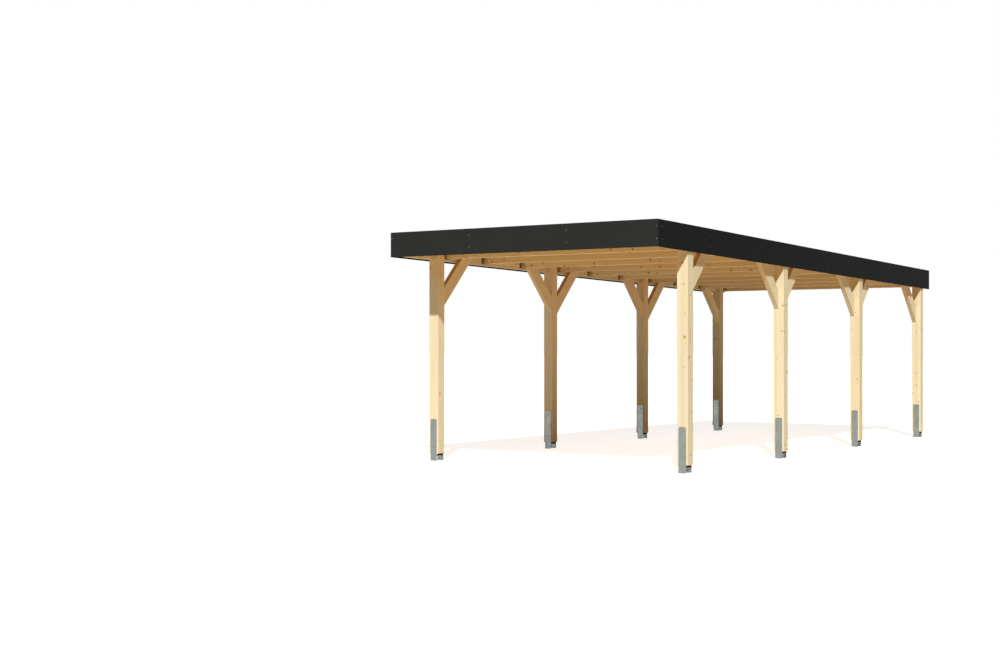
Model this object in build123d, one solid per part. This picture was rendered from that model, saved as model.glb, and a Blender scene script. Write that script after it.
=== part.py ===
from build123d import *
import os

# Carport: two rows of four square timber posts under a flat roof that falls gently to the back.
# Millimetres, +Z up, +X to the right seen from the front, +Y from the front to the back.
# The origin lies on the ground under the middle of the roof.

# Driving dimensions of the plan
POST = 120
ROW_SPACING = 3055  # between the centres of the left and the right posts
BAY = 2408  # between the centres of neighbouring posts in a row
BAYS = 3
FRONT_OVERHANG = 735  # from the centres of the front posts to the front of the fascia
REAR_OVERHANG = 269  # from the centres of the rear posts to the back of the roof
FASCIA_THICKNESS = 20  # the side panels lie on the outer faces of the posts

# Driving dimensions in height
CLEAR_HEIGHT = 2220  # from the ground to the lower edge of the front fascia
ROOF_FALL = 0.0178  # drop of the roof for each millimetre to the back
FASCIA_HEIGHT = 264
PURLIN_LIFT = 14  # underside of the purlins over the fascia's lower edge
PURLIN_DEPTH = 140
JOIST_DEPTH = 120
DECK_THICKNESS = 19
UPSTAND_HEIGHT = 60  # of the battens on the edge of the deck
MEMBRANE_THICKNESS = 2

# Sections of the timbers
PURLIN_THICKNESS = 60
JOIST_THICKNESS = 60
BATTEN_WIDTH = 40
BATTEN_GAP = 1  # between the front batten and the ends of the side ones
BRACE_THICKNESS = 55
BRACE_WIDTH = 140  # across the brace, square to its length
BRACE_REACH = 500  # from the post's face to where the lower edge meets the purlin's underside
BRACE_HEEL = 25  # from there on to the plumb cut at the brace's upper end
BRACE_CLEARANCE = 5  # between that end and the hanger of a joist in its way

# Joists: one behind the front panel, then equal steps from behind the front posts to the rear panel
JOISTS_PER_BAY = 3
JOIST_BEHIND_POST = 40  # from the back faces of the front posts to the joist behind them

# Joist hangers, folded from sheet steel
HANGER_SHEET = 2
HANGER_FLANGE = 30  # width of each nailed flange on the purlin
HANGER_HEIGHT = 100
HANGER_SEAT_LENGTH = 76
HANGER_TOP_LENGTH = 30

# Post anchors: two upright plates joined by a web some way under the post's foot, which stays dry
ANCHOR_TOP = 461
ANCHOR_WIDTH = 82
ANCHOR_PLATE = 6
ANCHOR_CORNER = 18
POST_FOOT = 81  # height of the post's foot over the ground
WEB_GAP = 23  # between the post's foot and the anchor's web

# What follows from the driving dimensions
ROOF_LENGTH = FRONT_OVERHANG + BAYS * BAY + REAR_OVERHANG
ROOF_FRONT = -ROOF_LENGTH / 2
ROOF_BACK = ROOF_LENGTH / 2
POST_ROWS = [ROOF_FRONT + FRONT_OVERHANG + BAY * n for n in range(BAYS + 1)]
ROW_X = ROW_SPACING / 2
PANEL_INSIDE = ROW_X + POST / 2  # inner faces of the side panels
PANEL_OUTSIDE = PANEL_INSIDE + FASCIA_THICKNESS
TIMBER_FRONT = ROOF_FRONT + FASCIA_THICKNESS
TIMBER_BACK = ROOF_BACK - FASCIA_THICKNESS
PURLIN_INSIDE = PANEL_INSIDE - PURLIN_THICKNESS
BRACE_CUT = BRACE_WIDTH * 2**0.5  # height of the brace's foot on the post's face, at 45 degrees

# Front faces of the joists
FRONT_JOIST = TIMBER_FRONT + HANGER_SHEET
SECOND_JOIST = POST_ROWS[0] + POST / 2 + JOIST_BEHIND_POST
REAR_JOIST = TIMBER_BACK - HANGER_SHEET - JOIST_THICKNESS
JOIST_STEPS = BAYS * JOISTS_PER_BAY
JOIST_STEP = (REAR_JOIST - SECOND_JOIST) / JOIST_STEPS
JOISTS = [FRONT_JOIST] + [SECOND_JOIST + JOIST_STEP * n for n in range(JOIST_STEPS + 1)]

# Heights over the fascia's lower edge, which falls with the roof
FRAME_TOP = PURLIN_LIFT + PURLIN_DEPTH
JOIST_LIFT = FRAME_TOP - JOIST_DEPTH
DECK_TOP = FRAME_TOP + DECK_THICKNESS
UPSTAND_TOP = DECK_TOP + UPSTAND_HEIGHT


def roof_height(y, lift):
    """Height at y of the line that runs with the roof, lift over the fascia's lower edge."""
    return CLEAR_HEIGHT + lift - ROOF_FALL * (y - ROOF_FRONT)


def across(outline, x_low, x_high):
    """Solid with the outline, a list of (y, z), between two places on X."""
    edge = Wire.make_polygon([(x_low, y, z) for y, z in outline], close=True)
    return Solid.extrude(Face(edge), Vector(x_high - x_low, 0, 0))


def roof_bar(x_low, x_high, y_low, y_high, lift_low, lift_high):
    """Bar with plumb ends whose underside and top fall with the roof."""
    outline = [
        (y_low, roof_height(y_low, lift_low)),
        (y_high, roof_height(y_high, lift_low)),
        (y_high, roof_height(y_high, lift_high)),
        (y_low, roof_height(y_low, lift_high)),
    ]
    return across(outline, x_low, x_high)


def on_side(solid, side):
    """The solid as made for the right row, or mirrored for the left one."""
    return solid if side == "right" else mirror(solid, about=Plane.YZ)


def write(node, *solids):
    """One file for each node, named after it."""
    shape = solids[0] if len(solids) == 1 else Compound(children=list(solids))
    shape.label = node
    export_step(shape, os.path.join("parts", node + ".step"))


def post(y):
    """Post of the right row: its outer half stops under the purlin, its inner cheek runs on."""
    front, back = y - POST / 2, y + POST / 2
    shaft_outline = [
        (front, POST_FOOT),
        (back, POST_FOOT),
        (back, roof_height(back, PURLIN_LIFT)),
        (front, roof_height(front, PURLIN_LIFT)),
    ]
    shaft = across(shaft_outline, ROW_X - POST / 2, ROW_X + POST / 2)
    cheek = roof_bar(ROW_X - POST / 2, PURLIN_INSIDE, front, back, PURLIN_LIFT, FRAME_TOP)
    return (shaft + cheek).solid()


def anchor(y):
    """H-shaped anchor: plates on the front and back faces of the post, and a web below its foot."""
    side = Rectangle(ANCHOR_WIDTH, ANCHOR_TOP, align=(Align.CENTER, Align.MIN))
    top_corners = side.vertices().group_by(Axis.Y)[-1]
    plate = extrude(fillet(top_corners, ANCHOR_CORNER), ANCHOR_PLATE)
    upright = Rot(X=90) * plate  # now from y = -ANCHOR_PLATE to y = 0
    front = Pos(ROW_X, y - POST / 2, 0) * upright
    back = Pos(ROW_X, y + POST / 2 + ANCHOR_PLATE, 0) * upright
    web_middle = POST_FOOT - WEB_GAP - ANCHOR_PLATE / 2
    web = Pos(ROW_X, y, web_middle) * Box(ANCHOR_WIDTH, POST, ANCHOR_PLATE)
    return (front + web + back).solid()


def brace_directions(n):
    """To the back (1) and to the front (-1), where the row goes on past its post n."""
    return [1] * (n < BAYS) + [-1] * (n > 0)


def brace_end(y, direction):
    """Place on Y of the plumb cut, which stops short of a joist that doesn't pass over the brace."""
    face = y + direction * POST / 2
    run = BRACE_REACH + BRACE_HEEL
    for front in JOISTS:
        near = front if direction > 0 else front + JOIST_THICKNESS
        room = direction * (near - face) - HANGER_SHEET - BRACE_CLEARANCE
        if room > BRACE_REACH - BRACE_CUT:
            run = min(run, room)
    return face + direction * run


def brace(y, direction):
    """Brace from the post at y up to the purlin's inner face, cut level with the purlin's top."""
    face = y + direction * POST / 2
    end = brace_end(y, direction)
    foot = roof_height(face + direction * BRACE_REACH, PURLIN_LIFT) - BRACE_REACH
    rise = abs(end - face)
    outline = [
        (face, foot),
        (end, foot + rise),
        (end, foot + BRACE_CUT + rise),
        (face, foot + BRACE_CUT),
    ]
    inner = PURLIN_INSIDE - BRACE_THICKNESS
    low, high = sorted([face, end])
    bar = across(outline, inner, PURLIN_INSIDE)
    under_deck = roof_bar(inner, PURLIN_INSIDE, low, high, -BRACE_REACH - BRACE_CUT, FRAME_TOP)
    return (bar & under_deck).solid()


def joist(front):
    return roof_bar(
        -PURLIN_INSIDE, PURLIN_INSIDE, front, front + JOIST_THICKNESS, JOIST_LIFT, FRAME_TOP
    )


def flange_fits(low, high):
    """Whether a flange between two places on Y is clear of the end panels and the braces' ends."""
    ends = [brace_end(y, way) for n, y in enumerate(POST_ROWS) for way in brace_directions(n)]
    taken = any(low - BRACE_CLEARANCE < end < high + BRACE_CLEARANCE for end in ends)
    return TIMBER_FRONT <= low and high <= TIMBER_BACK and not taken


def hanger(front):
    """Hanger of the right row: a seat under the joist, two tapered cheeks and the nailed flanges."""
    back = front + JOIST_THICKNESS
    seat_top = roof_height((front + back) / 2, JOIST_LIFT) - ROOF_FALL * JOIST_THICKNESS / 2
    seat_low = seat_top - HANGER_SHEET
    top = seat_low + HANGER_HEIGHT
    inner_edge = PURLIN_INSIDE - HANGER_SEAT_LENGTH
    taper_edge = PURLIN_INSIDE - HANGER_TOP_LENGTH
    seat_outline = [
        (front, seat_low),
        (back, seat_low),
        (back, seat_top),
        (front, seat_top),
    ]
    body = across(seat_outline, inner_edge, PURLIN_INSIDE)
    cheek_outline = [
        (PURLIN_INSIDE, seat_low),
        (inner_edge, seat_low),
        (taper_edge, top),
        (PURLIN_INSIDE, top),
    ]
    for cheek_front in (front - HANGER_SHEET, back):
        edge = Wire.make_polygon([(x, cheek_front, z) for x, z in cheek_outline], close=True)
        body += Solid.extrude(Face(edge), Vector(0, HANGER_SHEET, 0))
    for flange_front in (front - HANGER_SHEET - HANGER_FLANGE, back + HANGER_SHEET):
        flange_back = flange_front + HANGER_FLANGE
        if flange_fits(flange_front, flange_back):
            outline = [
                (flange_front, seat_low),
                (flange_back, seat_low),
                (flange_back, top),
                (flange_front, top),
            ]
            body += across(outline, PURLIN_INSIDE - HANGER_SHEET, PURLIN_INSIDE)
    return body.solid()


def edge_battens():
    """Upstand battens on the deck, along the front and the sides."""
    front_back = TIMBER_FRONT + BATTEN_WIDTH
    front = roof_bar(-PANEL_INSIDE, PANEL_INSIDE, TIMBER_FRONT, front_back, DECK_TOP, UPSTAND_TOP)
    right = roof_bar(
        PANEL_INSIDE - BATTEN_WIDTH,
        PANEL_INSIDE,
        front_back + BATTEN_GAP,
        TIMBER_BACK,
        DECK_TOP,
        UPSTAND_TOP,
    )
    return [front, right, on_side(right, "left")]


def membrane():
    """Skin on the deck, up the inner faces of the upstand battens and over their tops."""
    skin_top = DECK_TOP + MEMBRANE_THICKNESS
    rim_top = UPSTAND_TOP + MEMBRANE_THICKNESS
    field_side = PANEL_INSIDE - BATTEN_WIDTH
    field_front = TIMBER_FRONT + BATTEN_WIDTH
    wall_side = field_side - MEMBRANE_THICKNESS
    wall_back = field_front + MEMBRANE_THICKNESS
    skin = roof_bar(-field_side, field_side, field_front, ROOF_BACK, DECK_TOP, skin_top)
    skin += roof_bar(-field_side, field_side, field_front, wall_back, skin_top, rim_top)
    skin += roof_bar(-PANEL_INSIDE, PANEL_INSIDE, TIMBER_FRONT, field_front, UPSTAND_TOP, rim_top)
    for side in ("left", "right"):
        wall = roof_bar(wall_side, field_side, wall_back, TIMBER_BACK, skin_top, rim_top)
        cap = roof_bar(field_side, PANEL_INSIDE, field_front, TIMBER_BACK, UPSTAND_TOP, rim_top)
        skin += on_side(wall, side)
        skin += on_side(cap, side)
    return skin.solid()


os.makedirs("parts", exist_ok=True)

for side in ("left", "right"):
    write("purlin_" + side, on_side(roof_bar(
        PURLIN_INSIDE, PANEL_INSIDE, TIMBER_FRONT, TIMBER_BACK, PURLIN_LIFT, FRAME_TOP
    ), side))
    write("fascia_" + side, on_side(roof_bar(
        PANEL_INSIDE, PANEL_OUTSIDE, TIMBER_FRONT, ROOF_BACK, 0, FASCIA_HEIGHT
    ), side))
    for n, y in enumerate(POST_ROWS):
        place = f"{side}_{n + 1}"
        write("post_" + place, on_side(post(y), side))
        write("anchor_" + place, on_side(anchor(y), side))
        write("brace_" + place, *[on_side(brace(y, way), side) for way in brace_directions(n)])

for n, front in enumerate(JOISTS):
    write(f"joist_{n + 1:02d}", joist(front))
hangers = [hanger(front) for front in JOISTS]
write("joist_hangers", *hangers, *[on_side(solid, "left") for solid in hangers])

# The front panel covers the ends of the side panels. The rear panel lies between them, under the drip edge.
write("fascia_front", across([
    (ROOF_FRONT, CLEAR_HEIGHT),
    (TIMBER_FRONT, CLEAR_HEIGHT),
    (TIMBER_FRONT, CLEAR_HEIGHT + FASCIA_HEIGHT),
    (ROOF_FRONT, CLEAR_HEIGHT + FASCIA_HEIGHT),
], -PANEL_OUTSIDE, PANEL_OUTSIDE))
write("fascia_rear", roof_bar(-PANEL_INSIDE, PANEL_INSIDE, TIMBER_BACK, ROOF_BACK, JOIST_LIFT, DECK_TOP))
write("roof_deck", roof_bar(-PANEL_INSIDE, PANEL_INSIDE, TIMBER_FRONT, TIMBER_BACK, FRAME_TOP, DECK_TOP))
write("edge_battens", *edge_battens())
write("roof_membrane", membrane())
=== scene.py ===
# Carport: eased timbers of spruce, zinc-coated fittings, dark panels, roof boards and roof skin.
# Metres, +Z up, +X to the right seen from the front, +Y from the front to the back.
import math

import bmesh
import bpy
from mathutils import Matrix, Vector
from mathutils.bvhtree import BVHTree


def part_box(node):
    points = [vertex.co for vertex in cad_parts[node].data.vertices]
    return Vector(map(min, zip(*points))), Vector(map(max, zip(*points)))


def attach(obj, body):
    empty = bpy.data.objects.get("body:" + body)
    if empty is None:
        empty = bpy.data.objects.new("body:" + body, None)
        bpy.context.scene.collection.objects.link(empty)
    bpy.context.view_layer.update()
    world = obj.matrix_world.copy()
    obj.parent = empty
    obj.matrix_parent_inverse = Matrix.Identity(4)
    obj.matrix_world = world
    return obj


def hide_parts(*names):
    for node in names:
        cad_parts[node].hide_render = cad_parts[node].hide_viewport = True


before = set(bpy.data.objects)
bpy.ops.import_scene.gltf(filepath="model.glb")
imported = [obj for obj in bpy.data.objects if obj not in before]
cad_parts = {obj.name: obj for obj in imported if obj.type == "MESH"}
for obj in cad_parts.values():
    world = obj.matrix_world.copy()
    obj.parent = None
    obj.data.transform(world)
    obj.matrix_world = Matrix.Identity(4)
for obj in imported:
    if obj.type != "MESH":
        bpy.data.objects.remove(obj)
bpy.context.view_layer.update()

# The camera that took the photograph
CAMERA_PLACE = (8.28105, -16.91975, 1.25432)
CAMERA_TURN = math.radians(33.518)  # to the left of straight ahead
CAMERA_LENS = 54.2
CAMERA_SENSOR = 36.0
CAMERA_SHIFT = 0.0139

# Light and floor
WHITE = (1.0, 1.0, 1.0, 1.0)
SUN_TRAVEL = (-0.62, 1.10, -1.0)
SUN_STRENGTH = 3.5
SUN_SPREAD = math.radians(1.5)
SKY_STRENGTH = 0.09
SKY_COLOR = (1.0, 0.88, 0.72, 1.0)
FLOOR_SIZE = 400.0
FLOOR_COLOR = (0.92, 0.77, 0.63, 1.0)
FLOOR_LIFT = 0.82  # white that only the camera and reflections see

# Lines of the part that the details follow
FRONT_LOW, FRONT_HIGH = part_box("fascia_front")
SIDE_LOW, SIDE_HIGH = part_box("fascia_right")
REAR_LOW, REAR_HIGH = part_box("fascia_rear")
DECK_LOW, DECK_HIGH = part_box("roof_deck")
PURLIN_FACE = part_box("purlin_right")[0].x
PANEL_HEIGHT = FRONT_HIGH.z - FRONT_LOW.z
ROOF_FALL = (SIDE_HIGH.z - SIDE_LOW.z - PANEL_HEIGHT) / (SIDE_HIGH.y - SIDE_LOW.y)
DECK_THICKNESS = DECK_HIGH.z - DECK_LOW.z - ROOF_FALL * (DECK_HIGH.y - DECK_LOW.y)
DECK_TOP_LIFT = DECK_HIGH.z - FRONT_LOW.z + ROOF_FALL * (DECK_LOW.y - FRONT_LOW.y)
FRAME_TOP_LIFT = DECK_TOP_LIFT - DECK_THICKNESS
SIDES = {"left": -1, "right": 1}
POSTS = range(1, 5)
JOISTS = range(1, 12)


def roof_height(y, lift):
    """Height at y of the line that runs with the roof, lift over the panels' lower edge."""
    return FRONT_LOW.z + lift - ROOF_FALL * (y - FRONT_LOW.y)


def middle(node):
    low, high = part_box(node)
    return (low + high) / 2


class Nodes:
    """A node tree with short calls that add nodes, set or join their inputs and give back outputs."""

    def __init__(self, tree):
        self.tree = tree

    def add(self, kind, inputs=None, **settings):
        node = self.tree.nodes.new(kind)
        for name, value in settings.items():
            setattr(node, name, value)
        for key, value in (inputs or {}).items():
            socket = node.inputs[key]
            if isinstance(value, bpy.types.NodeSocket):
                self.tree.links.new(value, socket)
            else:
                socket.default_value = value
        return node

    def join(self, output, socket):
        self.tree.links.new(output, socket)

    def math(self, operation, *values):
        return self.add("ShaderNodeMath", dict(enumerate(values)), operation=operation).outputs[0]

    def weighted(self, start, *terms):
        """The start and, for each further pair, its value times its weight."""
        for value, weight in terms:
            start = self.math("MULTIPLY_ADD", value, weight, start)
        return start

    def vector_math(self, operation, *values, result="Vector"):
        node = self.add("ShaderNodeVectorMath", dict(enumerate(values)), operation=operation)
        return node.outputs[result]

    def scaled(self, vector, scale):
        return self.vector_math("MULTIPLY", vector, scale if isinstance(scale, tuple) else (scale,) * 3)

    def dot(self, vector, other):
        return self.vector_math("DOT_PRODUCT", vector, other, result="Value")

    def length(self, x, y):
        return self.vector_math("LENGTH", self.combine(x, y), result="Value")

    def distance(self, vector, other):
        return self.vector_math("DISTANCE", vector, other, result="Value")

    def split(self, vector):
        return self.add("ShaderNodeSeparateXYZ", {0: vector}).outputs

    def split_color(self, color):
        return self.add("ShaderNodeSeparateColor", {0: color}).outputs

    def combine(self, x=0.0, y=0.0, z=0.0):
        return self.add("ShaderNodeCombineXYZ", {0: x, 1: y, 2: z}).outputs[0]

    def rise(self, value, low, high, bottom=0.0, top=1.0):
        """Goes smoothly from bottom to top as the value goes from low to high."""
        sockets = {0: value, 1: low, 2: high, 3: bottom, 4: top}
        return self.add("ShaderNodeMapRange", sockets, interpolation_type="SMOOTHSTEP").outputs[0]

    def fade(self, value, low, high, top=1.0):
        """Goes smoothly from top to 0 as the value goes from low to high."""
        return self.rise(value, low, high, top, 0.0)

    def band(self, value, low, full, last, high):
        """Goes from 0 at low to 1 at full, and from last on back to 0 at high."""
        return self.math("MULTIPLY", self.rise(value, low, full), self.fade(value, last, high))

    def noise(self, vector, detail=2.0, roughness=0.5, result=0):
        sockets = {"Vector": vector, "Scale": 1.0, "Detail": detail, "Roughness": roughness}
        return self.add("ShaderNodeTexNoise", sockets).outputs[result]

    def blend(self, factor, first, second, kind="MIX"):
        sockets = {0: factor, 6: first, 7: second}
        return self.add("ShaderNodeMix", sockets, data_type="RGBA", blend_type=kind).outputs[2]


def new_group(name, kind, inputs, outputs):
    """Node group with named sockets: its nodes, what it is given and the sockets that take its results."""
    tree = bpy.data.node_groups.new(name, kind)
    for in_out, sockets in (("INPUT", inputs), ("OUTPUT", outputs)):
        for title, sort, default in sockets:
            socket = tree.interface.new_socket(title, in_out=in_out, socket_type="NodeSocket" + sort)
            if default is not None:
                socket.default_value = default
    nodes = Nodes(tree)
    return nodes, nodes.add("NodeGroupInput").outputs, nodes.add("NodeGroupOutput").inputs


SURFACE_OUTPUTS = [("Color", "Color", None), ("Roughness", "Float", None), ("Height", "Float", None)]

# Colours of spruce
PALE = (0.845, 0.80, 0.585, 1.0)
WARM = (0.80, 0.70, 0.445, 1.0)
LATE_WOOD = (0.66, 0.51, 0.29, 1.0)
LEFT_COLORS = {
    "Pale": (0.87, 0.83, 0.62, 1.0),
    "Warm": (0.83, 0.73, 0.475, 1.0),
    "Late": (0.70, 0.56, 0.34, 1.0),
}
# Painted shade: darker, warmer wood for the roof's timbers and boards, which lie in shade
ROOF_PAINTED_SHADE_COLORS = {
    "Pale": (0.80, 0.65, 0.365, 1.0),
    "Warm": (0.72, 0.52, 0.235, 1.0),
    "Late": (0.53, 0.335, 0.132, 1.0),
}
# Painted shade: darker, warmer wood for the left braces, which stand in the roof's shade
BRACE_PAINTED_SHADE_COLORS = {
    "Pale": (0.86, 0.71, 0.42, 1.0),
    "Warm": (0.77, 0.58, 0.30, 1.0),
    "Late": (0.63, 0.42, 0.195, 1.0),
}
# Painted shade: dark orange for the braces' upper faces, which lie in the shade under the roof
BRACE_TOP_PAINTED_SHADE_COLORS = {
    "Pale": (0.78, 0.46, 0.15, 1.0),
    "Warm": (0.70, 0.38, 0.11, 1.0),
    "Late": (0.52, 0.25, 0.06, 1.0),
}
KNOT_GLOW = (0.60, 0.36, 0.13, 1.0)
KNOT_HEART = (0.38, 0.20, 0.07, 1.0)
KNOT_LIVE = (0.56, 0.33, 0.11, 1.0)
KNOT_BARK = (0.12, 0.06, 0.022, 1.0)
GLUE = (0.45, 0.27, 0.12, 1.0)
PAINTED_SHADE_TINT = (0.94, 0.79, 0.61, 1.0)  # painted shade: a warm, darker tint for wood towards the roof, where the roof shades it

# Growth of spruce
DRAW = 0.37  # any number: it sets what a layer gets by chance
PITH_DRIFT = 0.03
TRUNK_SPREAD = 9.0  # between the trunks that timbers and layers come from
TRUNK_SHIFT = 5.0  # most that the layers of a glued timber are shifted along the trunk
SWAY_RATE = 0.8
RING_WOBBLE = 0.007
RING_PUSH = 0.005  # of the rings round a knot
LATE_BAND = (0.3, 0.88, 0.93, 1.0)  # of each year's growth
SPOKES = 4.0  # knots in a whorl
SPOKE_SEAM = 0.3  # free of knots, where the angle round the pith starts again
KNOT_SCATTER = 0.8
KNOT_RAGGED = 0.003
KNOT_LEAST = 0.35  # this and the next two in knot sizes
KNOT_GROWTH = 0.5
LIVE_GROWTH = 1.1
LIVE_GIRTH = (0.88, 0.94)  # the few large, light knots
HEART_FADE = (-0.0012, 0.0)  # this and the next two from a knot's edge
BARK_BAND = (-0.0016, -0.0002, 0.0, 0.0009)
GLOW_FADE = (-0.001, 0.012)
MARK_RADIUS = 0.014  # of knots at places of their own
NO_MARK = (0.0, 0.0, -99.0)
CHECK_WIDTH = (0.0015, 0.006)
CHECK_ZONE = (0.62, 0.70)
SEAM_WIDTH = (0.0002, 0.0005)
FAR = 20.0  # puts a knot out of reach

# How fast the noises of spruce change, per metre across the grain and along it
RAGGED_SCALE = (180.0, 180.0, 120.0)
WOBBLE_SCALE = (28.0, 28.0, 1.6)
FIBRE_SCALE = (900.0, 900.0, 16.0)
CLOUD_SCALE = (14.0, 14.0, 0.55)
CHECK_SCALE = (55.0, 55.0, 0.7)
CHECK_ZONE_SCALE = (7.0, 7.0, 1.1)

# How strongly each mark of spruce shows
TONE_LUCK = 0.45  # most that chance warms a layer
TONE_RANGE = (0.45, 1.0)
FIBRE_RANGE = (0.45, 0.75)
LATE_STRENGTH = 0.6
FIBRE_STRENGTH = 0.16
GLOW_STRENGTH = 0.42
BARK_STRENGTH = 0.85
LIVE_BARK_LOSS = 0.65
CHECK_STRENGTH = 0.6
SEAM_STRENGTH = 0.55
WOOD_ROUGHNESS = 0.62


def spruce_knots(n, given, angle, radius, along):
    """Cones that run out from the pith, several to a whorl, and the marks at places of their own.

    Gives the distance from the nearest knot's edge, less than 0 inside it, and 1 where it is a live knot.
    """
    around = n.math("MULTIPLY", angle, SPOKES / math.tau)
    level = n.math("DIVIDE", along, given["Whorl"])
    scatter = {"Vector": n.combine(around, level), "Scale": 1.0, "Randomness": KNOT_SCATTER}
    cells = n.add("ShaderNodeTexVoronoi", scatter, voronoi_dimensions="2D")
    knot_x, knot_y = n.split(cells.outputs["Position"])[:2]
    share, girth = n.split_color(cells.outputs["Color"])[:2]
    arc = n.math("MULTIPLY", radius, math.tau / SPOKES)
    beside = n.math("MULTIPLY", n.math("SUBTRACT", around, knot_x), arc)
    above = n.math("MULTIPLY", n.math("SUBTRACT", level, knot_y), given["Whorl"])
    ragged = n.noise(n.scaled(given["Vector"], RAGGED_SCALE), detail=1.0)
    uneven = n.math("MULTIPLY", n.math("SUBTRACT", ragged, 0.5), KNOT_RAGGED)
    reach = n.math("ADD", uneven, n.length(beside, above))
    live = n.rise(girth, *LIVE_GIRTH)
    size = n.weighted(KNOT_LEAST, (live, LIVE_GROWTH), (girth, KNOT_GROWTH))
    missing = n.math("GREATER_THAN", share, given["Knot Share"])
    seam = n.math("GREATER_THAN", n.math("ABSOLUTE", around), SPOKES / 2 - SPOKE_SEAM)
    away = n.math("ADD", reach, n.math("MULTIPLY", n.math("MAXIMUM", missing, seam), FAR))
    edge = n.math("MULTIPLY_ADD", size, n.math("MULTIPLY", given["Knot"], -1.0), away)
    for title in ("First Mark", "Second Mark"):
        mark_away = n.math("ADD", n.distance(given["Vector"], given[title]), uneven)
        mark_edge = n.math("SUBTRACT", mark_away, MARK_RADIUS)
        live = n.math("MAXIMUM", live, n.math("LESS_THAN", mark_edge, edge))
        edge = n.math("MINIMUM", edge, mark_edge)
    return edge, live


def spruce_group():
    """Wood in coordinates with the grain along Z and the layers of glued timber stacked along X."""
    n, given, out = new_group(
        "sawn spruce",
        "ShaderNodeTree",
        [
            ("Vector", "Vector", None),
            ("Seed", "Float", 0.0),
            ("Layer", "Float", 1.0),
            ("Ring", "Float", 0.004),
            ("Knot", "Float", 0.011),
            ("Knot Share", "Float", 0.5),
            ("Whorl", "Float", 0.42),
            ("Pith X", "Float", 0.06),
            ("Pith Y", "Float", 0.0),
            ("First Mark", "Vector", NO_MARK),
            ("Second Mark", "Vector", NO_MARK),
            ("Pale", "Color", PALE),
            ("Warm", "Color", WARM),
            ("Late", "Color", LATE_WOOD),
            # how far the wood takes the tint of painted shade
            ("Shelter", "Float", 0.0),
        ],
        SURFACE_OUTPUTS,
    )
    vector = given["Vector"]
    x, y, z = n.split(vector)
    layer = n.math("FLOOR", n.math("ADD", n.math("DIVIDE", x, given["Layer"]), 0.5))
    inside = n.math("SUBTRACT", x, n.math("MULTIPLY", layer, given["Layer"]))
    luck = n.add("ShaderNodeTexWhiteNoise", {"Vector": n.combine(layer, given["Seed"], DRAW)})
    first, second, third = n.split_color(luck.outputs["Color"])[:3]

    # The pith wanders slowly along the trunk, beside the piece that is cut from it
    rate = n.math("MULTIPLY", z, SWAY_RATE)
    trunk = n.combine(n.math("MULTIPLY", first, TRUNK_SPREAD), given["Seed"], rate)
    sway_x, sway_y = n.split_color(n.noise(trunk, detail=1.0, result="Color"))[:2]
    way = n.math("MULTIPLY_ADD", n.math("GREATER_THAN", third, 0.5), 2.0, -1.0)
    drift_x = n.math("MULTIPLY_ADD", n.math("ADD", sway_x, first), PITH_DRIFT, -PITH_DRIFT)
    drift_y = n.math("MULTIPLY_ADD", n.math("ADD", sway_y, second), PITH_DRIFT, -PITH_DRIFT)
    off_x = n.math("SUBTRACT", inside, n.math("MULTIPLY_ADD", given["Pith X"], way, drift_x))
    off_y = n.math("SUBTRACT", y, n.math("MULTIPLY_ADD", given["Pith Y"], way, drift_y))
    radius = n.length(off_x, off_y)
    angle = n.math("ARCTAN2", off_y, off_x)
    along = n.math("MULTIPLY_ADD", third, TRUNK_SHIFT, z)

    edge, live = spruce_knots(n, given, angle, radius, along)
    heart = n.fade(edge, *HEART_FADE)
    bark = n.math("MULTIPLY", n.band(edge, *BARK_BAND), n.weighted(BARK_STRENGTH, (live, -LIVE_BARK_LOSS)))
    glow = n.fade(edge, *GLOW_FADE)

    # Growth rings, pushed aside by the knots
    wobble = n.noise(n.scaled(vector, WOBBLE_SCALE))
    pushed = n.math("MULTIPLY_ADD", n.math("MULTIPLY", glow, glow), RING_PUSH, radius)
    rings = n.math("DIVIDE", n.math("MULTIPLY_ADD", wobble, RING_WOBBLE, pushed), given["Ring"])
    late = n.band(n.math("FRACT", rings), *LATE_BAND)
    fibre = n.noise(n.scaled(vector, FIBRE_SCALE))
    cloud = n.noise(n.scaled(vector, CLOUD_SCALE))

    # Thin drying checks that follow the grain
    split_field = n.noise(n.scaled(vector, CHECK_SCALE), detail=0.0)
    split_zone = n.noise(n.scaled(vector, CHECK_ZONE_SCALE), detail=0.0)
    thin = n.fade(n.math("ABSOLUTE", n.math("SUBTRACT", split_field, 0.5)), *CHECK_WIDTH)
    check = n.math("MULTIPLY", thin, n.rise(split_zone, *CHECK_ZONE))

    # Glue lines between the layers
    layer_edge = n.math("SUBTRACT", n.math("MULTIPLY", given["Layer"], 0.5), n.math("ABSOLUTE", inside))
    seam_line = n.fade(layer_edge, *SEAM_WIDTH, SEAM_STRENGTH)

    tone = n.rise(n.weighted(cloud, (second, TONE_LUCK)), *TONE_RANGE)
    color = n.blend(tone, given["Pale"], given["Warm"])
    color = n.blend(n.math("MULTIPLY", late, LATE_STRENGTH), color, given["Late"])
    color = n.blend(n.rise(fibre, *FIBRE_RANGE, 0.0, FIBRE_STRENGTH), color, given["Late"])
    color = n.blend(n.math("MULTIPLY", glow, GLOW_STRENGTH), color, KNOT_GLOW)
    color = n.blend(heart, color, n.blend(live, KNOT_HEART, KNOT_LIVE))
    color = n.blend(bark, color, KNOT_BARK)
    color = n.blend(n.math("MULTIPLY", check, CHECK_STRENGTH), color, GLUE)
    color = n.blend(seam_line, color, GLUE)
    # Painted shade: the colour is multiplied towards a warm, darker tint where the mask is 1
    n.join(n.blend(given["Shelter"], color, PAINTED_SHADE_TINT, "MULTIPLY"), out["Color"])

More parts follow.
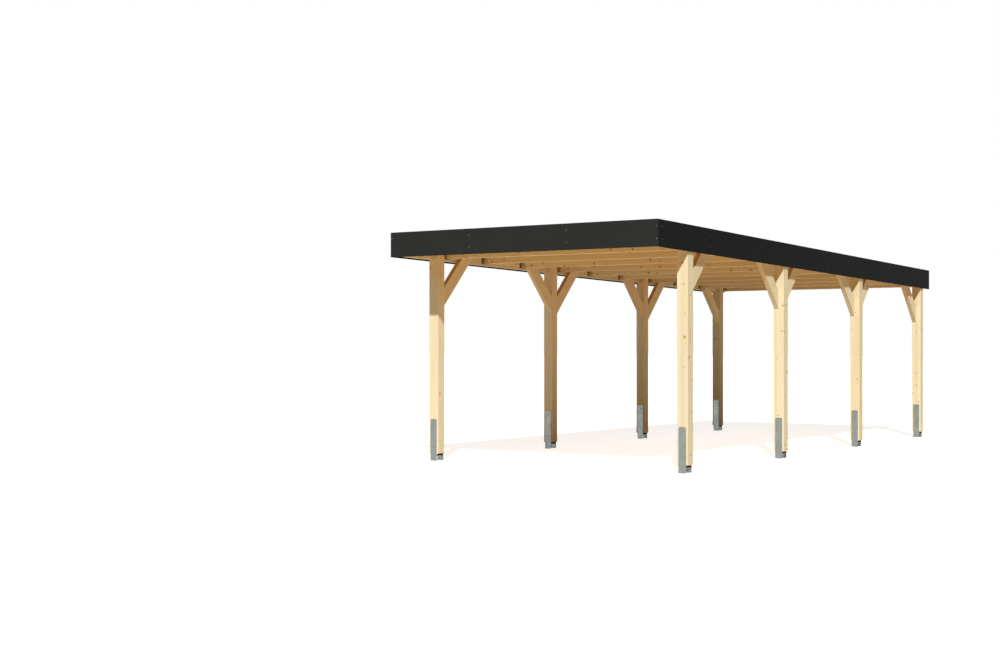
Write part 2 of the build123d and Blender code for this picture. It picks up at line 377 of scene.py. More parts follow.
    n.join(n.weighted(WOOD_ROUGHNESS, (late, -0.10), (heart, -0.14), (fibre, 0.12)), out["Roughness"])
    fuzz = n.math("MULTIPLY", fibre, 0.5)
    n.join(n.weighted(fuzz, (late, 0.45), (heart, 0.6), (check, -1.6), (seam_line, -1.0)), out["Height"])
    return n.tree


# Width of the soft edge of the painted shadow
PAINTED_SHADE_FADE = 0.03


def painted_shade_group():
    """Painted shade: where wood takes the warm tint, towards the roof and past the line of the sun's
    shadow under the eaves.

    Low and High are heights over the line of the panels' lower edge.
    """
    n, given, out = new_group(
        "wood in painted shade",
        "ShaderNodeTree",
        [
            ("Vector", "Vector", None),
            ("Low", "Float", -0.60),
            ("High", "Float", -0.40),
            ("Least", "Float", 0.0),
        ],
        [("Mask", "Float", None)],
    )
    front = FRONT_LOW.z + ROOF_FALL * FRONT_LOW.y
    under_roof = n.math("SUBTRACT", n.dot(given["Vector"], (0.0, ROOF_FALL, 1.0)), front)
    near_roof = n.rise(under_roof, given["Low"], given["High"], given["Least"])
    slope = (SUN_TRAVEL[2] + SUN_TRAVEL[1] * ROOF_FALL) / -SUN_TRAVEL[0]
    eaves = front + slope * SIDE_HIGH.x
    across = n.dot(given["Vector"], (slope, ROOF_FALL, 1.0))
    # Painted shadow: 1 past the line of the shadow that the side panels' lower edge casts in this sun
    in_painted_shadow = n.rise(across, eaves - PAINTED_SHADE_FADE, eaves + PAINTED_SHADE_FADE)
    n.join(n.math("MULTIPLY", near_roof, in_painted_shadow), out["Mask"])
    return n.tree


# Zinc: crystals, the clouds that bloom over them and the finest grain
CRYSTALS = 95.0  # to a metre
CRYSTAL_WARP = 0.006
WARP_SCALE = 120.0
BLOOM_SCALE = (16.0, 16.0, 9.0)
BLOOM_RANGE = (0.3, 0.7)
GRAIN_SCALE = 1500.0
FACET_SHARE = 0.35  # of the tone; the bloom gives the rest
FACET_ROUGHNESS = 0.10
FACET_RELIEF = 0.3
BLOOM_ROUGHNESS = (0.40, 0.58)


def zinc_group():
    """Hot-dip zinc: flat crystals of slightly different greys, dulled in clouds."""
    n, given, out = new_group(
        "dull zinc",
        "ShaderNodeTree",
        [
            ("Vector", "Vector", None),
            ("Light", "Color", None),
            ("Dark", "Color", None),
            ("Soot Foot", "Float", 9.0),
            ("Soot Top", "Float", 10.0),
        ],
        SURFACE_OUTPUTS,
    )
    vector = given["Vector"]
    warp = n.noise(n.scaled(vector, WARP_SCALE), result="Color")
    bent = n.vector_math("ADD", n.scaled(warp, CRYSTAL_WARP), vector)
    crystals = n.add("ShaderNodeTexVoronoi", {"Vector": bent, "Scale": CRYSTALS})
    facet = n.split_color(crystals.outputs["Color"])[0]
    bloom = n.noise(n.scaled(vector, BLOOM_SCALE), detail=4.0, roughness=0.6)
    grain = n.noise(n.scaled(vector, GRAIN_SCALE), detail=1.0)
    shade = n.weighted(n.rise(bloom, *BLOOM_RANGE, 0.0, 1.0 - FACET_SHARE), (facet, FACET_SHARE))
    # Painted shade: the colour goes to the dark tone above the given height, for the gap under the post
    painted_gap_shade = n.rise(n.split(vector)[2], given["Soot Foot"], given["Soot Top"])
    n.join(n.blend(n.math("MAXIMUM", shade, painted_gap_shade), given["Light"], given["Dark"]), out["Color"])
    roughness = n.rise(bloom, *BLOOM_RANGE, *BLOOM_ROUGHNESS)
    n.join(n.weighted(roughness, (facet, FACET_ROUGHNESS)), out["Roughness"])
    n.join(n.weighted(grain, (facet, FACET_RELIEF)), out["Height"])
    return n.tree


# Matt coating: dust in clouds and streaks, and speckles on the pebbles
DUST_SCALE = (1.7, 1.7, 5.0)
DUST_RANGE = (0.42, 0.78)
DUST_STRENGTH = 0.35
STREAK_SCALE = (30.0, 30.0, 1.2)
STREAK_RANGE = (0.45, 0.8)
STREAK_SHARE = 0.35  # of the dust; the clouds give the rest
SPECKLE_RANGE = (0.55, 0.8)
SPECKLE_STRENGTH = 0.25
COAT_ROUGHNESS = 0.50
CLOUD_ROUGHNESS = 0.16


def coating_group():
    """Matt coating or roofing: a fine speckle, slow clouds of dust and a pebbled surface."""
    n, given, out = new_group(
        "matt coating",
        "ShaderNodeTree",
        [
            ("Vector", "Vector", None),
            ("Base", "Color", None),
            ("Dust", "Color", None),
            ("Pebble", "Float", 900.0),
        ],
        SURFACE_OUTPUTS,
    )
    vector = given["Vector"]
    scaling = {0: vector, "Scale": given["Pebble"]}
    fine = n.add("ShaderNodeVectorMath", scaling, operation="SCALE").outputs[0]
    pebble = n.noise(fine, detail=1.0)
    cloud = n.noise(n.scaled(vector, DUST_SCALE), detail=4.0, roughness=0.62)
    streak = n.noise(n.scaled(vector, STREAK_SCALE))
    clouds = n.rise(cloud, *DUST_RANGE, 0.0, 1.0 - STREAK_SHARE)
    dust = n.weighted(clouds, (n.rise(streak, *STREAK_RANGE), STREAK_SHARE))
    speckle = n.rise(pebble, *SPECKLE_RANGE, 0.0, SPECKLE_STRENGTH)
    speckled = n.blend(speckle, given["Base"], given["Dust"])
    n.join(n.blend(n.math("MULTIPLY", dust, DUST_STRENGTH), speckled, given["Dust"]), out["Color"])
    n.join(n.weighted(COAT_ROUGHNESS, (cloud, CLOUD_ROUGHNESS)), out["Roughness"])
    n.join(pebble, out["Height"])
    return n.tree


SPRUCE = spruce_group()
PAINTED_SHADE_TREE = painted_shade_group()
ZINC = zinc_group()
COATING = coating_group()
RELIEF_DEPTH = 0.0001


def finish(name, group, inputs, bump, place=None, turn=None, **constants):
    """Material: a node group on object coordinates feeds colour, roughness and bump of one shader.

    An input that is given as a dictionary takes the mask of painted shade, made with those values.
    """
    material = bpy.data.materials.new(name)
    material.use_nodes = True
    n = Nodes(material.node_tree)
    shader = material.node_tree.nodes["Principled BSDF"]
    on_object = n.add("ShaderNodeTexCoord").outputs["Object"]
    vector = on_object
    if place is not None:
        mapping = {"Vector": on_object, "Location": place, "Rotation": turn}
        vector = n.add("ShaderNodeMapping", mapping, vector_type="TEXTURE").outputs[0]
    sockets = {"Vector": vector}
    for key, value in inputs.items():
        if isinstance(value, dict):
            painted_shade_node = n.add("ShaderNodeGroup", {"Vector": on_object, **value}, node_tree=PAINTED_SHADE_TREE)
            value = painted_shade_node.outputs["Mask"]
        sockets[key] = value
    surface = n.add("ShaderNodeGroup", sockets, node_tree=group).outputs
    n.join(surface["Color"], shader.inputs["Base Color"])
    n.join(surface["Roughness"], shader.inputs["Roughness"])
    relief = {"Strength": bump, "Distance": RELIEF_DEPTH, "Height": surface["Height"]}
    n.join(n.add("ShaderNodeBump", relief).outputs[0], shader.inputs["Normal"])
    for key, value in constants.items():
        shader.inputs[key.replace("_", " ")].default_value = value
    return material


WOOD_BUMP = 0.3
WOOD_SHEEN = 0.2
ZINC_BUMP = 0.1

# Turns that lay the grain, along Z in the group, along the timber
GRAIN_UP = (0.0, 0.0, 0.0)
GRAIN_ACROSS = (0.0, math.pi / 2, 0.0)
GRAIN_BACK = (-math.pi / 2, 0.0, 0.0)
GRAIN_RISING_BACK = (-math.pi / 4, 0.0, 0.0)
GRAIN_RISING_FRONT = (math.pi / 4, 0.0, 0.0)


def spruce(name, place, turn, seed, **looks):
    inputs = {"Seed": seed, **looks}
    return finish("spruce " + name, SPRUCE, inputs, WOOD_BUMP, place, turn, Specular_IOR_Level=WOOD_SHEEN)


def zinc(name, light, dark, metallic=0.92, **painted_gap_shade):
    return finish(name, ZINC, {"Light": light, "Dark": dark, **painted_gap_shade}, ZINC_BUMP, Metallic=metallic)


def coating(name, base, dust, pebble, bump, sheen):
    inputs = {"Base": base, "Dust": dust, "Pebble": pebble}
    return finish(name, COATING, inputs, bump, Specular_IOR_Level=sheen)


# Coats of the panels: on the ends, on the sides the same coat darker as painted shade, and on all edges
# and backs
PANEL_BASE = (0.0255, 0.0285, 0.028, 1.0)
PANEL_DUST = (0.040, 0.042, 0.041, 1.0)
SIDE_PAINTED_SHADE_BASE = (0.0110, 0.0135, 0.0138, 1.0)
SIDE_PAINTED_SHADE_DUST = (0.0205, 0.023, 0.0233, 1.0)
BACK_BASE = (0.008, 0.008, 0.008, 1.0)
BACK_DUST = (0.016, 0.016, 0.015, 1.0)
PANEL_PEBBLE = 1400.0
PANEL_BUMP = 0.06
PANEL_SHEEN = 0.009


def panel_coat(name, base, dust, sheen):
    return coating(name, base, dust, PANEL_PEBBLE, PANEL_BUMP, sheen)


def toned(color, tone):
    """The colour made darker, or lighter where the tone is over 1."""
    return (*(channel * tone for channel in color[:3]), 1.0)


def dress(piece, *materials):
    """Gives the piece these materials, in this order."""
    piece.data.materials.clear()
    for material in materials:
        piece.data.materials.append(material)


def new_object(name, data):
    made = bpy.data.objects.new(name, data)
    bpy.context.scene.collection.objects.link(made)
    return made


# Least part of a face's direction that lies along an axis
ALONG = 0.9  # for a face that looks that way
TOWARDS = 0.5  # for one that does roughly


def sort_faces(piece, belongs):
    """Gives the piece's second material to the faces whose outward direction belongs to it."""
    for face in piece.data.polygons:
        face.material_index = int(belongs(face.normal))


# Widths of eased edges, and which edges are eased
TIMBER_EDGE = 0.0025
STEEL_EDGE = 0.0008
SHEET_EDGE = 0.0003
PANEL_EDGE = 0.0008
EDGE_STEPS = 2
SHARP = math.radians(25)
FLAT = math.radians(0.5)
SAME_PLACE = 1e-5


def eased(node, name, width):
    """Piece that stands for a node: the same solids as clean faces, with their sharp edges eased."""
    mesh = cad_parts[node].data.copy()
    mesh.name = name
    shape = bmesh.new()
    shape.from_mesh(mesh)
    bmesh.ops.remove_doubles(shape, verts=shape.verts, dist=SAME_PLACE)
    bmesh.ops.dissolve_limit(shape, angle_limit=FLAT, verts=shape.verts, edges=shape.edges)
    sharp = [edge for edge in shape.edges if edge.calc_face_angle(0.0) > SHARP]
    bmesh.ops.bevel(shape, geom=sharp, offset=width, segments=EDGE_STEPS, profile=0.5, affect="EDGES")
    shape.to_mesh(mesh)
    shape.free()
    piece = new_object(name, mesh)
    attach(piece, "root")
    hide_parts(node)
    return piece


# Posts. Their seeds, like all seeds here, only have to differ from piece to piece
POST_SEED = 3.7
SIDE_SEED = 1.9
POST_KNOT = 0.0085
LAMELLA = 0.0406  # a little more than a third of a post, so that no glue line lies on its faces
KNOT_STEPS = (0.16, 0.26, 0.36, 0.30)  # from one whorl of knots to the next, front post to back post
KNOT_SHARES = {"left": 0.45, "right": 0.9}
POST_MARKS = {"First Mark": (1.5515, -3.439, 1.357), "Second Mark": (1.5875, -3.403, 1.160)}
BACK_POST_PAINTED_SHADE = 0.86  # painted shade: the last left post, deepest under the roof, is the darkest

# Painted shade on the left posts: on the faces that look into the carport, front to back, and elsewhere
PAINTED_SHADE_LEFT_INSIDE = (
    {"Low": -0.58, "High": -0.13},
    *({"Low": -0.50, "High": 0.0, "Least": least} for least in (0.5, 0.6, 0.7)),
)
PAINTED_SHADE_LEFT_ELSEWHERE = {"Low": -0.40, "High": 0.0}


def post_looks(side, number):
    """The wood of one post, as inputs of its finish."""
    # Every post takes painted shade towards the roof; the right posts keep the mask's own values
    looks = {"Layer": LAMELLA, "Knot": POST_KNOT, "Whorl": KNOT_STEPS[number - 1], "Shelter": {}}
    looks["Knot Share"] = KNOT_SHARES[side]
    if side == "left":
        tone = BACK_POST_PAINTED_SHADE if number == POSTS[-1] else 1.0
        looks.update({title: toned(color, tone) for title, color in LEFT_COLORS.items()})
        looks["Shelter"] = PAINTED_SHADE_LEFT_ELSEWHERE
    elif number == POSTS[0]:
        for title, place in POST_MARKS.items():
            looks[title] = Vector(place) - middle("post_right_1")
    return looks


def dress_posts():
    """Glued posts of three layers, each with its own wood."""
    for side in SIDES:
        for number in POSTS:
            node = f"post_{side}_{number}"
            seed = number * POST_SEED + SIDES[side] * SIDE_SEED
            looks = post_looks(side, number)
            piece = eased(node, f"timber_{node}", TIMBER_EDGE)
            dress(piece, spruce(node, middle(node), GRAIN_UP, seed, **looks))
            # The faces that look into the carport get a copy of the wood in stronger painted shade
            if side == "left":
                looks["Shelter"] = PAINTED_SHADE_LEFT_INSIDE[number - 1]
                inside = spruce(node + " inside", middle(node), GRAIN_UP, seed, **looks)
                piece.data.materials.append(inside)
                sort_faces(piece, lambda normal: normal.x > ALONG)


BRACE_SEED = 5.3
BRACE_RING = 0.0035
BRACE_TOP = 0.3  # least part of a face's direction upwards on a brace's upper edge, which takes the colours of painted shade


def dress_braces():
    """Braces: where a post has two, the one behind it leans back and the one in front leans forward."""
    for side in SIDES:
        for number in POSTS:
            node = f"brace_{side}_{number}"
            piece = eased(node, f"timber_{node}", TIMBER_EDGE)
            post_y = middle(f"post_{side}_{number}").y
            place = Vector((middle(node).x, post_y, middle(node).z))
            seed = number * BRACE_SEED + SIDES[side]
            # Left braces take the darker colours of painted shade; right braces the painted shade towards
            # the roof
            looks = BRACE_PAINTED_SHADE_COLORS if side == "left" else {"Shelter": {}}
            wood = [
                spruce(f"{node} {name} {tone}", place, turn, seed, Ring=BRACE_RING, **colors)
                for tone, colors in (("side", looks), ("top", BRACE_TOP_PAINTED_SHADE_COLORS))
                for name, turn in (("back", GRAIN_RISING_BACK), ("front", GRAIN_RISING_FRONT))
            ]
            dress(piece, *wood)
            for face in piece.data.polygons:
                # The upper faces take the copies in painted shade
                face.material_index = int(face.center.y < post_y) + 2 * int(face.normal.z > BRACE_TOP)


JOIST_SEED = 2.3
JOIST_LOOKS = {"Knot": 0.0125, "Ring": 0.0032, "Whorl": 0.23, "Knot Share": 0.9}
PURLIN_SEED = 4.1
PURLIN_LOOKS = {"Ring": 0.0036}
BATTEN_SEED = 8.8


def dress_roof_timbers():
    """Joists and purlins whose faces take the darker colours of painted shade while their undersides keep
    the lighter plain wood, and the battens round the deck in painted shade too.
    """
    woods = [(f"joist_{number:02d}", GRAIN_ACROSS, number * JOIST_SEED, JOIST_LOOKS) for number in JOISTS]
    woods += [(f"purlin_{side}", GRAIN_BACK, PURLIN_SEED + SIDES[side], PURLIN_LOOKS) for side in SIDES]
    for node, turn, seed, looks in woods:
        piece = eased(node, f"timber_{node}", TIMBER_EDGE)
        # The faces take the painted shade; the undersides keep the plain, lighter wood
        faces = spruce(node, middle(node), turn, seed, **looks, **ROOF_PAINTED_SHADE_COLORS)
        dress(piece, faces, spruce(node + " under", middle(node), turn, seed, **looks))
        sort_faces(piece, lambda normal: normal.z < -TOWARDS)
    battens = eased("edge_battens", "timber_edge_battens", TIMBER_EDGE)
    caps = panel_coat("batten end caps", BACK_BASE, BACK_DUST, 0.0)
    dress(battens, spruce("battens", middle("edge_battens"), GRAIN_BACK, BATTEN_SEED, **ROOF_PAINTED_SHADE_COLORS), caps)
    sort_faces(battens, lambda normal: normal.y > ALONG)


# Zinc-coated steel
ZINC_LIGHT = (0.275, 0.31, 0.305, 1.0)
ZINC_DARK = (0.22, 0.255, 0.25, 1.0)
# Painted light: the plates of the shaded left anchors further back are lighter, in place of reflected
# light
PLATE_PAINTED_LIGHT_TONES = {"dull": 1.0, "painted lighter": 1.12, "painted lightest": 1.4}
ANCHOR_PAINTED_LIGHT = {"anchor_left_2": "painted lighter", "anchor_left_3": "painted lightest", "anchor_left_4": "painted lightest"}
# Painted light and shade inside the anchors: light zinc low down, near black just under the post
GAP_PAINTED_LIGHT = (0.58, 0.61, 0.60, 1.0)
GAP_PAINTED_SHADE_DARK = (0.02, 0.02, 0.019, 1.0)
GAP_PAINTED_SHADE = {"Soot Foot": 0.052, "Soot Top": 0.064}
# Painted reflection: the hangers' zinc is brown, as if it mirrored the wood around it
HANGER_PAINTED_REFLECTION_LIGHT = (0.62, 0.45, 0.27, 1.0)
HANGER_PAINTED_REFLECTION_DARK = (0.48, 0.33, 0.18, 1.0)
# Painted shade: the hangers' flanges and seats are near black
FOLD_PAINTED_SHADE_LIGHT = (0.17, 0.10, 0.05, 1.0)
FOLD_PAINTED_SHADE_DARK = (0.09, 0.05, 0.022, 1.0)
INNER_MARGIN = 0.003  # from an anchor's outermost faces to the ones under the post in painted light and shade


def dress_steel():
    """Anchors and hangers. Gives the materials that their fittings share."""
    plates = {
        name: zinc(f"galvanised anchor plate {name}", toned(ZINC_LIGHT, tone), toned(ZINC_DARK, tone))
        for name, tone in PLATE_PAINTED_LIGHT_TONES.items()
    }
    gap = zinc("zinc under the post in painted light and shade", GAP_PAINTED_LIGHT, GAP_PAINTED_SHADE_DARK, **GAP_PAINTED_SHADE)
    for side in SIDES:
        for number in POSTS:
            node = f"anchor_{side}_{number}"
            piece = eased(node, f"steel_{node}", STEEL_EDGE)
            dress(piece, plates[ANCHOR_PAINTED_LIGHT.get(node, "dull")], gap)
            low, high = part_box(node)
            for face in piece.data.polygons:
                between = low.y + INNER_MARGIN < face.center.y < high.y - INNER_MARGIN
                # Faces between the plates take the zinc in painted light and shade
                face.material_index = int(between and abs(face.normal.x) < TOWARDS)
    hangers = eased("joist_hangers", "steel_joist_hangers", SHEET_EDGE)
    sheet = zinc("hanger steel with painted wood reflection", HANGER_PAINTED_REFLECTION_LIGHT, HANGER_PAINTED_REFLECTION_DARK)
    dress(hangers, sheet, zinc("painted shade on the hanger's folds", FOLD_PAINTED_SHADE_LIGHT, FOLD_PAINTED_SHADE_DARK))
    # Flanges and seats, which don't look along Y, take the painted shade
    sort_faces(hangers, lambda normal: abs(normal.y) < ALONG)
    return plates["dull"], sheet


# Panels. Their outer faces are drawn in, so that the screw heads on them end at the part's outline
HEAD_ROOM = 0.0012


def dress_panels():
    """Panels: one coat outside, another one on the inside and the lower edge."""
    ends = panel_coat("anthracite end panel", PANEL_BASE, PANEL_DUST, PANEL_SHEEN)
    sides = panel_coat("anthracite panel side in painted shade", SIDE_PAINTED_SHADE_BASE, SIDE_PAINTED_SHADE_DUST, PANEL_SHEEN)
    backs = panel_coat("panel back and edges", BACK_BASE, BACK_DUST, 0.0)
    looks = {
        "front": (ends, Vector((0, 1, 0))),
        "left": (sides, Vector((1, 0, 0))),
        "right": (sides, Vector((-1, 0, 0))),
        "rear": (ends, Vector((0, -1, 0))),
    }
    for place, (outside, inward) in looks.items():
        node = f"fascia_{place}"
        piece = eased(node, f"panel_{place}", PANEL_EDGE)
        for corner in piece.data.vertices:
            for axis, reach in ((0, SIDE_HIGH.x), (1, SIDE_HIGH.y)):
                if abs(corner.co[axis]) > reach - HEAD_ROOM:
                    corner.co[axis] -= math.copysign(HEAD_ROOM, corner.co[axis])
        dress(piece, outside, backs)
        sort_faces(piece, lambda normal: normal.dot(inward) > TOWARDS or normal.z < -TOWARDS)


TWIST_SEED = 7


def on_points(n, points, shape):
    """The shape on each point, along the point's aim and turned round it by chance."""
    aim = n.add("GeometryNodeInputNamedAttribute", {"Name": "aim"}, data_type="FLOAT_VECTOR").outputs[0]
    turned = n.add("FunctionNodeAlignRotationToVector", {"Vector": aim}, axis="Z").outputs[0]
    placing = {"Points": points, "Instance": shape, "Rotation": turned}
    placed = n.add("GeometryNodeInstanceOnPoints", placing).outputs[0]
    chance = n.add("FunctionNodeRandomValue", {3: math.tau, "Seed": TWIST_SEED}).outputs[1]
    twist = n.combine(z=chance)
    return n.add("GeometryNodeRotateInstances", {"Instances": placed, "Rotation": twist}).outputs[0]


def end_tree(n, instances, material, out):
    """Makes the instances plain geometry in one material."""
    real = n.add("GeometryNodeRealizeInstances", {"Geometry": instances}).outputs[0]
    dressed = n.add("GeometryNodeSetMaterial", {"Geometry": real, "Material": material}).outputs[0]
    n.join(dressed, out["Geometry"])


def strips_group():
    """Equal strips side by side: each runs from start to end, and each next one lies a step further on."""
    n, given, out = new_group(
        "equal strips",
        "GeometryNodeTree",
        [
            ("Start", "Vector", None),
            ("End", "Vector", None),
            ("Step", "Vector", None),
            ("Width", "Float", 0.1),
            ("Thickness", "Float", 0.02),
            ("Ease", "Float", 0.002),
            ("Count", "Int", 2),
            ("Material", "Material", None),
        ],
        [("Geometry", "Geometry", None)],
    )
    ends = {"Start": given["Start"], "End": given["End"]}
    run = n.add("GeometryNodeCurvePrimitiveLine", ends).outputs[0]
    upright = n.add("GeometryNodeSetCurveNormal", {"Curve": run}, mode="Z_UP").outputs[0]
    size = {"Width": given["Width"], "Height": given["Thickness"]}
    section = n.add("GeometryNodeCurvePrimitiveQuadrilateral", size).outputs[0]
    easing = {"Curve": section, "Count": 1, "Radius": given["Ease"]}
    profile = n.add("GeometryNodeFilletCurve", easing, mode="POLY").outputs[0]
    sweep = {"Curve": upright, "Profile Curve": profile, "Fill Caps": True}
    strip = n.add("GeometryNodeCurveToMesh", sweep).outputs[0]
    steps = {"Count": given["Count"], "Offset": given["Step"]}
    places = n.add("GeometryNodeMeshLine", steps).outputs[0]
    row = n.add("GeometryNodeInstanceOnPoints", {"Points": places, "Instance": strip}).outputs[0]
    plain = n.add("GeometryNodeSetShadeSmooth", {"Geometry": row, "Shade Smooth": False}).outputs[0]
    end_tree(n, plain, given["Material"], out)
    return n.tree


def heads_group():
    """Round heads on points, each turned to its point's aim: a low crown with a sunk drive."""
    n, given, out = new_group(
        "screw and nail heads",
        "GeometryNodeTree",
        [
            ("Points", "Geometry", None),
            ("Radius", "Float", 0.004),
            ("Height", "Float", 0.001),
            ("Crown", "Float", 0.7),
            ("Drive", "Float", 0.5),
            ("Drive Depth", "Float", 0.0005),
            ("Sides", "Int", 12),
            ("Material", "Material", None),
        ],
        [("Geometry", "Geometry", None)],
    )
    cone = n.add(
        "GeometryNodeMeshCone",
        {
            "Vertices": given["Sides"],
            "Radius Top": n.math("MULTIPLY", given["Radius"], given["Crown"]),
            "Radius Bottom": given["Radius"],
            "Depth": given["Height"],
        },
    ).outputs
    doubling = {"Mesh": cone["Mesh"], "Selection": cone["Top"], "Offset Scale": 0.0}
    rim = n.add("GeometryNodeExtrudeMesh", doubling).outputs
    narrowing = {"Geometry": rim["Mesh"], "Selection": rim["Top"], "Scale": given["Drive"]}
    inner = n.add("GeometryNodeScaleElements", narrowing).outputs[0]
    down = n.math("MULTIPLY", given["Drive Depth"], -1.0)
    sinking = {"Mesh": inner, "Selection": rim["Top"], "Offset Scale": down}
    head = n.add("GeometryNodeExtrudeMesh", sinking).outputs["Mesh"]
    end_tree(n, on_points(n, given["Points"], head), given["Material"], out)
    return n.tree


# A bolt's end from the plate outwards: each part's sides, and its top's width to its foot's
BOLT_STACK = {"Washer": (24, 0.97), "Hexagon": (6, 0.94), "Shank": (12, 0.85)}


def bolts_group():
    """Ends of bolts on points, each turned to its point's aim: a washer, a hexagon and the shank's end."""
    n, given, out = new_group(
        "bolt ends",
        "GeometryNodeTree",
        [
            ("Points", "Geometry", None),
            ("Washer Radius", "Float", 0.009),
            ("Washer Height", "Float", 0.0016),
            ("Hexagon Radius", "Float", 0.0075),
            ("Hexagon Height", "Float", 0.005),
            ("Shank Radius", "Float", 0.004),
            ("Shank Height", "Float", 0.0005),
            ("Material", "Material", None),
        ],
        [("Geometry", "Geometry", None)],
    )
    stack = n.add("GeometryNodeJoinGeometry")
    foot = 0.0
    for title, (sides, taper) in BOLT_STACK.items():
        radius, height = given[title + " Radius"], given[title + " Height"]
        shape = n.add(
            "GeometryNodeMeshCone",
            {
                "Vertices": sides,
                "Radius Top": n.math("MULTIPLY", radius, taper),
                "Radius Bottom": radius,
                "Depth": height,
            },
        ).outputs["Mesh"]
        rise = {"Geometry": shape, "Translation": n.combine(z=foot)}
        n.join(n.add("GeometryNodeTransform", rise).outputs[0], stack.inputs[0])
        foot = n.math("ADD", foot, height)
    end_tree(n, on_points(n, given["Points"], stack.outputs[0]), given["Material"], out)
    return n.tree


STRIPS = strips_group()
HEADS = heads_group()
BOLTS = bolts_group()


def points_mesh(name, spots):
    """Loose points with the direction in which each fitting on them looks."""
    mesh = bpy.data.meshes.new(name)
    mesh.from_pydata([place for place, aim in spots], [], [])
    aims = mesh.attributes.new("aim", "FLOAT_VECTOR", "POINT")
    for value, (place, aim) in zip(aims.data, spots):
        value.vector = aim
    return mesh


def grow(name, tree, material, spots=(), **inputs):
    """Piece made by a geometry tree, as a plain mesh that rides on the body."""
    piece = new_object(name, points_mesh(name, spots))
    modifier = piece.modifiers.new("grow", "NODES")
    modifier.node_group = tree
    values = {title.replace("_", " "): value for title, value in inputs.items()}
    values["Material"] = material
    for item in tree.interface.items_tree:
        if item.in_out == "INPUT" and item.name in values:
            modifier[item.identifier] = values[item.name]
    scene_state = bpy.context.evaluated_depsgraph_get()
    mesh = bpy.data.meshes.new_from_object(piece.evaluated_get(scene_state))
    piece.modifiers.remove(modifier)
    piece.data = mesh
    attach(piece, "root")
    return piece


# Roof skin, with laps across the roof
SKIN_BASE = (0.040, 0.040, 0.042, 1.0)
SKIN_DUST = (0.115, 0.11, 0.10, 1.0)
SKIN_PEBBLE = 420.0
SKIN_BUMP = 0.8
SKIN_SHEEN = 0.08
SKIN_THICKNESS = 0.002
LAP_STEP = 1.05
LAP_WIDTH = 0.08
LAP_THICKNESS = 0.0016
LAP_EASE = 0.4  # of its thickness
LAP_INSET = 0.043  # from the deck's edge, inside the battens


def dress_skin():
    """Roofing sheets that lie across the roof, each lapped over the one below it."""
    roofing = coating("roofing membrane", SKIN_BASE, SKIN_DUST, SKIN_PEBBLE, SKIN_BUMP, SKIN_SHEEN)
    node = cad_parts["roof_membrane"]
    dress(node, roofing)
    reach = DECK_HIGH.x - LAP_INSET
    first = DECK_HIGH.y - LAP_STEP
    height = roof_height(first, DECK_TOP_LIFT + SKIN_THICKNESS + LAP_THICKNESS / 2)
    laps = grow(
        "membrane_laps",
        STRIPS,
        roofing,
        Start=(-reach, first, height),
        End=(reach, first, height),
        Step=(0.0, -LAP_STEP, ROOF_FALL * LAP_STEP),
        Width=LAP_WIDTH,
        Thickness=LAP_THICKNESS,
        Ease=LAP_THICKNESS * LAP_EASE,
        Count=int((first - DECK_LOW.y) / LAP_STEP) + 1,
    )


# Roof boards with eased edges, set side by side
BOARDS = 26
BOARD_SEED = 3.3
BOARD_WIDTH = (DECK_HIGH.x - DECK_LOW.x) / BOARDS
BOARD_GAP = 0.0006
BOARD_EASE = 0.0025
BOARD_LOOKS = {
    "Layer": BOARD_WIDTH,
    "Knot": 0.0115,
    "Knot Share": 0.85,
    "Whorl": 0.28,
    "Pith X": 0.0,
    "Pith Y": 0.05,
}


def make_boards():
    """Boards in place of the slab that stands for them."""
    place = Vector((BOARD_WIDTH / 2, 0.0, middle("roof_deck").z))
    # The boards take the roof's colours of painted shade
    wood = spruce("roof boards", place, GRAIN_BACK, BOARD_SEED, **BOARD_LOOKS, **ROOF_PAINTED_SHADE_COLORS)
    lift = DECK_TOP_LIFT - DECK_THICKNESS / 2
    x = DECK_LOW.x + BOARD_WIDTH / 2
    boards = grow(
        "roof_boards",
        STRIPS,
        wood,
        Start=(x, DECK_LOW.y, roof_height(DECK_LOW.y, lift)),
        End=(x, DECK_HIGH.y, roof_height(DECK_HIGH.y, lift)),
        Step=(BOARD_WIDTH, 0.0, 0.0),
        Width=BOARD_WIDTH - BOARD_GAP,
        Thickness=DECK_THICKNESS,
        Ease=BOARD_EASE,
        Count=BOARDS,
    )
    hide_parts("roof_deck")


# Panel screws: pairs one over the other
SCREW_DROPS = (0.066, 0.190)  # under the panels' upper edge
FRONT_SCREWS = (0.586, 1.590)  # from the middle
SIDE_SCREW_END = 0.086
SIDE_SCREW_STEP = 1.075
REAR_SCREW_INSET = 0.035


def panel_screws():
    """Screws of the end panels and of the front corners, and those further along the side panels."""
    ends, along_sides = [], []
    for side in SIDES.values():
        for x in FRONT_SCREWS:
            for drop in SCREW_DROPS:
                ends.append(((side * x, FRONT_LOW.y + HEAD_ROOM, FRONT_HIGH.z - drop), (0, -1, 0)))
            x_rear = min(x, REAR_HIGH.x - 2 * REAR_SCREW_INSET)
            for z in (REAR_HIGH.z - REAR_SCREW_INSET, REAR_LOW.z + REAR_SCREW_INSET):
                ends.append(((side * x_rear, REAR_HIGH.y - HEAD_ROOM, z), (0, 1, 0)))
        length = SIDE_HIGH.y - FRONT_LOW.y
        count = 1 + int((length - 2 * SIDE_SCREW_END) / SIDE_SCREW_STEP)
        steps = [SIDE_SCREW_END + SIDE_SCREW_STEP * n for n in range(count)]
        for along in (*steps, length - SIDE_SCREW_END):
            y = FRONT_LOW.y + along
            row = ends if along == SIDE_SCREW_END else along_sides
            for drop in SCREW_DROPS:
                z = roof_height(y, PANEL_HEIGHT - drop)
                row.append(((side * (SIDE_HIGH.x - HEAD_ROOM), y, z), (side, 0, 0)))
    return ends, along_sides


# Anchor bolts: one above the other on the middle line of each plate
BOLT_HEIGHTS = (0.158, 0.419)


